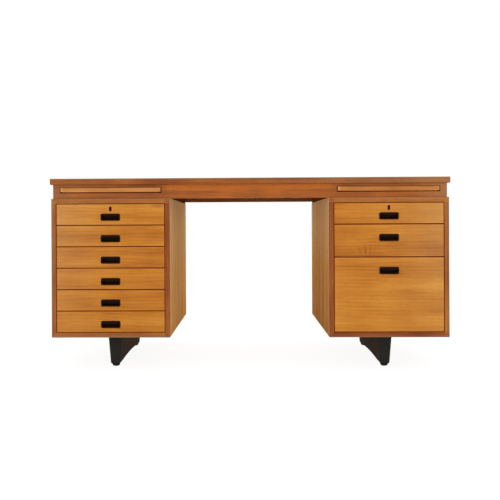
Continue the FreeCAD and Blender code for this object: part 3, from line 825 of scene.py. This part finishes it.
def dress_drawers():
    boxes = mitred_timber("drawer_beech", "yx", PALE_BEECH, box_back, lines=130.0)
    moulding, bronze = black_moulding(), bronzed_brass()
    for side in SIDES:
        for number, shades in enumerate(DRAWER_SHADES[side], start=1):
            name = f"{side}_drawer_{number}"
            low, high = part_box(name + "_front")
            curl = (low.x + CURL_PLACE[0], low.z + CURL_PLACE[1]) if name == "right_drawer_2" else None
            lip_shadow = (high.x - LIP_SHADOW_PLACE[0], high.z - LIP_SHADOW_PLACE[1]) if name == "left_drawer_1" else None
            place = (FRONT_CUT_STEP[0] * number, FRONT_CUTS[side], FRONT_CUT_STEP[1] * number)
            veneer = drawer_front_teak(name + "_teak", name + "_front", place, shades, GAP_SHADE_WIDTHS[side],
                                       curl, lip_shadow)
            coat(veneer, name + "_front")
            coat(boxes, name + "_box")
            softened(name + "_pull", name, moulding, PULL_ROUNDING, PULL_RIM | {"face": low.y})
        bush_rim = BUSH_RIM | {"face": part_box(side + "_drawer_1_front")[0].y}
        softened(side + "_keyhole_bush", side + "_drawer_1", bronze, BUSH_ROUNDING, bush_rim)


# Studio: each lamp's place, what it faces, its size and its watts

FLOOR_SIZE, FLOOR_PALENESS, SEEN_FLOOR, SEEN_WHITE = 60, 0.92, 0.14, 0.92
SKY_STRENGTH = 0.95
LAMPS = {
    "left_lamp": ((-1.9, -2.9, 1.0), (-0.1, -0.3, 0.45), (2.0, 1.6), 8),
    "right_lamp": ((1.9, -2.9, 1.0), (0.1, -0.3, 0.45), (2.0, 1.6), 7),
    "back_lamp": ((0.0, 3.2, 0.9), (0.0, 0.0, 0.45), (4.0, 1.6), 12),
}
CAMERA_PLACE = (-0.0082, -3.1426, 0.5671)
CAMERA_YAW, CAMERA_ROLL = math.radians(1.185), math.radians(-0.265)
CAMERA_LENS, CAMERA_SENSOR = 51.47, 36.0
CAMERA_SHIFT = (0.0356, -0.05)
CAMERA_REACH = 200.0


def seen_directly(wiring):
    """1 where the camera looks, straight or by way of metal or glass."""
    rays = wiring.add("ShaderNodeLightPath").socket.node.outputs
    kinds = ("Camera", "Glossy", "Transmission")
    camera, glossy, clear = [Signal(wiring, rays[f"Is {kind} Ray"]) for kind in kinds]
    return camera.higher_of(glossy).higher_of(clear)


def grey(level):
    return (level, level, level, 1)


def studio_floor():
    """A pale floor that looks white to the camera and still takes the desk's shadow."""
    bpy.ops.mesh.primitive_plane_add(size=FLOOR_SIZE)
    floor = bpy.context.object
    floor.name = "studio_floor"
    finish = Finish("studio_floor")
    seen = seen_directly(finish)
    colour = finish.blend(seen, grey(FLOOR_PALENESS), grey(SEEN_FLOOR))
    matt = finish.add("ShaderNodeBsdfDiffuse", inputs={"Color": colour})
    white = finish.add("ShaderNodeEmission", inputs={"Color": grey(1), "Strength": seen * SEEN_WHITE})
    both = finish.add("ShaderNodeAddShader", inputs={0: matt, 1: white})
    finish.add("ShaderNodeOutputMaterial", inputs={"Surface": both})
    floor.data.materials.append(finish.material)


def studio_world():
    """Even light from all round, white where the camera or a reflection sees it."""
    world = bpy.data.worlds.new("studio")
    bpy.context.scene.world = world
    world.use_nodes = True
    wiring = Wiring(world.node_tree)
    level = seen_directly(wiring) * (1.0 - SKY_STRENGTH) + SKY_STRENGTH
    sky = wiring.add("ShaderNodeBackground", inputs={"Color": grey(1), "Strength": level})
    wiring.add("ShaderNodeOutputWorld", inputs={"Surface": sky})


def studio_lamp(name, place, target, size, watts):
    lamp = bpy.data.objects.new(name, bpy.data.lights.new(name, "AREA"))
    lamp.data.shape = "RECTANGLE"
    lamp.data.size, lamp.data.size_y = size
    lamp.data.energy = watts
    lamp.location = place
    lamp.rotation_euler = (Vector(target) - Vector(place)).to_track_quat("-Z", "Y").to_euler()
    bpy.context.scene.collection.objects.link(lamp)


def photograph_camera():
    """A camera a few steps in front of the desk, at sitting height, turned and rolled a little."""
    right = Vector((math.cos(CAMERA_YAW), math.sin(CAMERA_YAW), 0))
    ahead = Vector((-math.sin(CAMERA_YAW), math.cos(CAMERA_YAW), 0))
    up = Vector((0, 0, 1))
    rolled_right = right * math.cos(CAMERA_ROLL) + up * math.sin(CAMERA_ROLL)
    rolled_up = up * math.cos(CAMERA_ROLL) - right * math.sin(CAMERA_ROLL)
    camera = bpy.data.objects.new("camera", bpy.data.cameras.new("camera"))
    camera.data.sensor_width = CAMERA_SENSOR
    camera.data.lens = CAMERA_LENS
    camera.data.shift_x, camera.data.shift_y = CAMERA_SHIFT
    camera.data.clip_end = CAMERA_REACH
    axes = Matrix((rolled_right, rolled_up, -ahead)).transposed().to_4x4()
    camera.matrix_world = Matrix.Translation(CAMERA_PLACE) @ axes
    bpy.context.scene.collection.objects.link(camera)
    bpy.context.scene.camera = camera


photograph_camera()
dress_desk()
dress_drawers()
studio_floor()
studio_world()
for lamp_name, lamp_setting in LAMPS.items():
    studio_lamp(lamp_name, *lamp_setting)
bpy.context.scene.view_settings.view_transform = "Standard"
